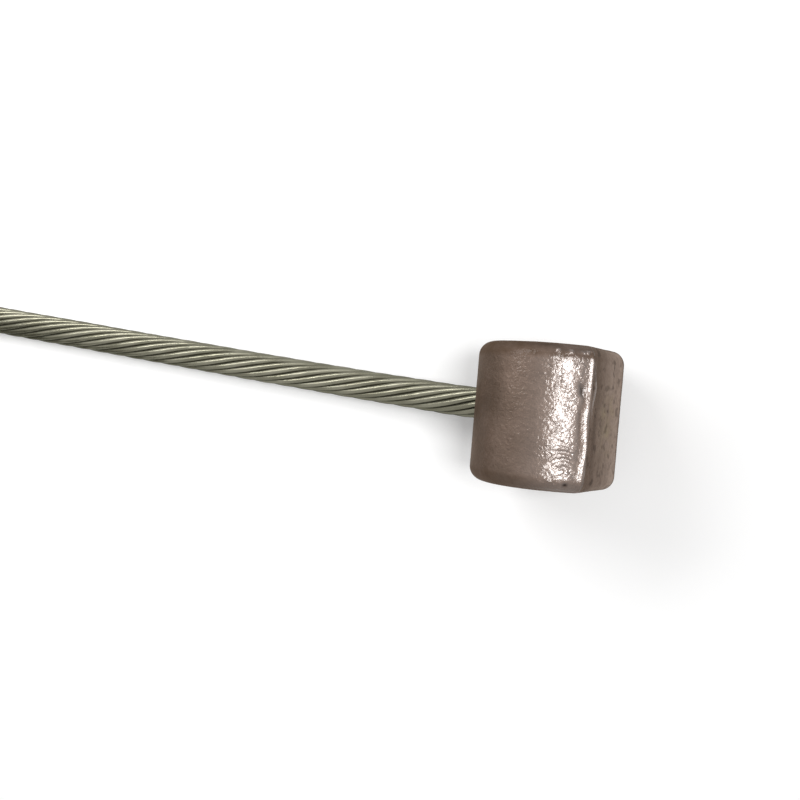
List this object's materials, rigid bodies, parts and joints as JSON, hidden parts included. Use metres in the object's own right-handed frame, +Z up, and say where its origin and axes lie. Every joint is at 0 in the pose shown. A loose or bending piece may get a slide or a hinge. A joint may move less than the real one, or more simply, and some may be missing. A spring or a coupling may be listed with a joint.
{
  "type": "bicycle brake cable",
  "caption": "Inner brake cable: a laid steel strand with a die-cast zinc barrel end that has one flat, its free length wound in a tied coil.",
  "frame": {"origin": "on the surface that it lies on, under the middle of the barrel end's box (the flat counts, so the barrel's own axis is 0.06 mm towards +X)", "axes": "+Z up; +Y along the barrel end's axis; -X the way the cable leaves, at 18.5 degrees below the level, with the back flat on the +X side tipped up by as much"},
  "size_m": [0.0662, 0.0271, 0.0131],
  "materials": {
    "zinc_casting": "die-cast zinc alloy as cast, warm grey, satin with a fine hammered grain",
    "strand_steel": "drawn bare steel wire, satin, slightly olive from its oil film",
    "tie_strip": "off-white paper and plastic strip over a soft wire"
  },
  "bodies": {
    "root": {"barrel_end": "zinc_casting", "core_wire_end": "strand_steel", "inner_wire_end_1": "strand_steel", "inner_wire_end_2": "strand_steel", "inner_wire_end_3": "strand_steel", "inner_wire_end_4": "strand_steel", "inner_wire_end_5": "strand_steel", "inner_wire_end_6": "strand_steel", "outer_wire_end_1": "strand_steel", "outer_wire_end_2": "strand_steel", "outer_wire_end_3": "strand_steel", "outer_wire_end_4": "strand_steel", "outer_wire_end_5": "strand_steel", "outer_wire_end_6": "strand_steel", "outer_wire_end_7": "strand_steel", "outer_wire_end_8": "strand_steel", "outer_wire_end_9": "strand_steel", "outer_wire_end_10": "strand_steel", "outer_wire_end_11": "strand_steel", "outer_wire_end_12": "strand_steel", "cable_run": "strand_steel", "cable_coil": "strand_steel", "twist_tie_1": "tie_strip", "twist_tie_2": "tie_strip"}
  },
  "joints": []
}
